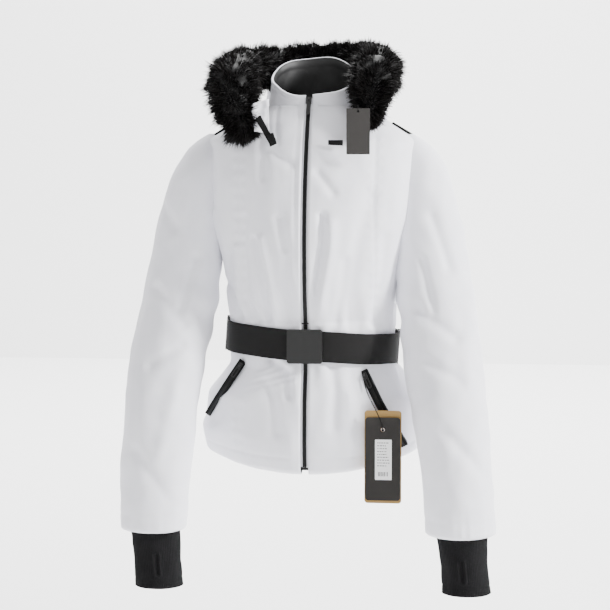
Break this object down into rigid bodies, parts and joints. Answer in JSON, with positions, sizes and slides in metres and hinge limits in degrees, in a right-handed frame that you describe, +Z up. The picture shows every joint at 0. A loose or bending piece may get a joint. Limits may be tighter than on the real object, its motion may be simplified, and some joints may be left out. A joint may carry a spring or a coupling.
{
  "type": "ski jacket",
  "caption": "Padded waisted ski jacket with raised collar, fur-trimmed folded hood, belt and buckle, zipped front and pockets, and knit inner cuffs.",
  "frame": {"origin": "bearing point of the hanger loop, at the centre back of the neck inside the collar", "axes": "+X towards the wearer's left, -Y out of the front, +Z up"},
  "size_m": [0.6169, 0.3837, 0.8954],
  "materials": {
    "white_shell": "smooth woven softshell, matt",
    "wadding": "loose polyester wadding",
    "black_lining": "smooth woven lining",
    "zip_tape": "woven tape",
    "zip_teeth": "moulded",
    "zip_metal": "black lacquer",
    "belt_webbing": "ribbed elastic webbing",
    "buckle_metal": "satin black lacquer",
    "cuff_knit": "fine rib knit",
    "fur": "long soft pile",
    "tag_string": "braided",
    "dark_card": "uncoated card",
    "grey_card": "uncoated card",
    "kraft_card": "kraft card",
    "sticker": "coated label"
  },
  "bodies": {
    "shell": {"front_panel_right": "white_shell", "front_panel_left": "white_shell", "side_panel_right": "white_shell", "side_panel_left": "white_shell", "back_panel": "white_shell", "body_wadding": "wadding", "body_lining": "black_lining", "collar_outer": "white_shell", "collar_lining": "black_lining", "storm_flap": "white_shell", "pocket_bag_right": "black_lining", "pocket_bag_left": "black_lining", "neck_label": "black_lining", "hanger_loop": "zip_tape", "front_zip_tape_right": "zip_tape", "front_zip_tape_left": "zip_tape", "front_zip_teeth_right": "zip_teeth", "front_zip_teeth_left": "zip_teeth", "front_zip_box": "zip_teeth", "pocket_zip_tape_right": "zip_tape", "pocket_zip_tape_left": "zip_tape", "pocket_zip_teeth_right": "zip_teeth", "pocket_zip_teeth_left": "zip_teeth", "shoulder_piping_right": "zip_tape", "shoulder_piping_left": "zip_tape", "belt_webbing": "belt_webbing", "belt_loop_right": "belt_webbing", "belt_loop_left": "belt_webbing", "buckle_base": "buckle_metal", "hood_strap_right": "zip_tape", "hood_strap_left": "zip_tape", "strap_snap": "zip_metal"},
    "front_slider": {"front_zip_slider": "zip_metal"},
    "front_puller": {"front_zip_puller": "zip_metal"},
    "right_pocket_slider": {"pocket_slider_right": "zip_metal"},
    "right_pocket_puller": {"pocket_puller_right": "zip_metal"},
    "left_pocket_slider": {"pocket_slider_left": "zip_metal"},
    "left_pocket_puller": {"pocket_puller_left": "zip_metal"},
    "buckle": {"buckle_plate": "buckle_metal"},
    "right_sleeve": {"sleeve_shell_right": "white_shell", "sleeve_wadding_right": "wadding", "sleeve_lining_right": "black_lining", "cuff_right": "cuff_knit"},
    "left_sleeve": {"sleeve_shell_left": "white_shell", "sleeve_wadding_left": "wadding", "sleeve_lining_left": "black_lining", "cuff_left": "cuff_knit"},
    "hood": {"hood_fur": "fur", "hood_shell": "white_shell", "hood_lining": "black_lining"},
    "hang_tags": {"tag_string": "tag_string", "tag_knot": "tag_string", "tag_dark": "dark_card", "tag_kraft": "kraft_card", "tag_sticker": "sticker"},
    "small_tag": {"neck_tag": "grey_card", "neck_tag_tie": "tag_string"}
  },
  "joints": [
    {"name": "front_zip", "type": "hinge", "parent": "shell", "child": "front_slider", "pos_m": [0, 0.22, -0.226], "axis": [1, 0, 0], "range_deg": [0, 45.7]},
    {"name": "front_puller_swing", "type": "hinge", "parent": "front_slider", "child": "front_puller", "pos_m": [0, -0.14791, 0.01203], "axis": [-1, 0, 0], "range_deg": [0, 140]},
    {"name": "right_pocket_zip", "type": "hinge", "parent": "shell", "child": "right_pocket_slider", "pos_m": [-0.12672, -0.0359, -0.44321], "axis": [0.8342, 0.0152, -0.5512], "range_deg": [0, 46.3]},
    {"name": "right_pocket_puller_swing", "type": "hinge", "parent": "right_pocket_slider", "child": "right_pocket_puller", "pos_m": [-0.11192, -0.16679, -0.42442], "axis": [-0.8342, -0.0152, 0.5512], "range_deg": [0, 120]},
    {"name": "left_pocket_zip", "type": "hinge", "parent": "shell", "child": "left_pocket_slider", "pos_m": [0.12151, -0.03848, -0.47488], "axis": [0.886, -0.0356, 0.4623], "range_deg": [0, 52.7]},
    {"name": "left_pocket_puller_swing", "type": "hinge", "parent": "left_pocket_slider", "child": "left_pocket_puller", "pos_m": [0.0957, -0.18082, -0.43639], "axis": [-0.886, 0.0356, -0.4623], "range_deg": [0, 120]},
    {"name": "buckle_unhook", "type": "hinge", "parent": "shell", "child": "buckle", "pos_m": [-0.029, -0.2063, -0.388], "axis": [0, 0, 1], "range_deg": [-60, 0]},
    {"name": "right_sleeve_raise", "type": "hinge", "parent": "shell", "child": "right_sleeve", "pos_m": [-0.181, -0.082, -0.046], "axis": [0, 1, 0], "range_deg": [0, 45]},
    {"name": "left_sleeve_raise", "type": "hinge", "parent": "shell", "child": "left_sleeve", "pos_m": [0.172, -0.082, -0.046], "axis": [0, -1, 0], "range_deg": [0, 45]},
    {"name": "hood_raise", "type": "hinge", "parent": "shell", "child": "hood", "pos_m": [0, -0.178, -0.08], "axis": [1, 0, 0], "range_deg": [0, 65]},
    {"name": "hang_tags_swing", "type": "hinge", "parent": "shell", "child": "hang_tags", "pos_m": [0.097, -0.206, -0.444], "axis": [-1, 0, 0], "range_deg": [0, 60]},
    {"name": "neck_tag_swing", "type": "hinge", "parent": "hood", "child": "small_tag", "pos_m": [0.086, -0.2, 0.0015], "axis": [-1, 0, 0], "range_deg": [0, 60]}
  ]
}
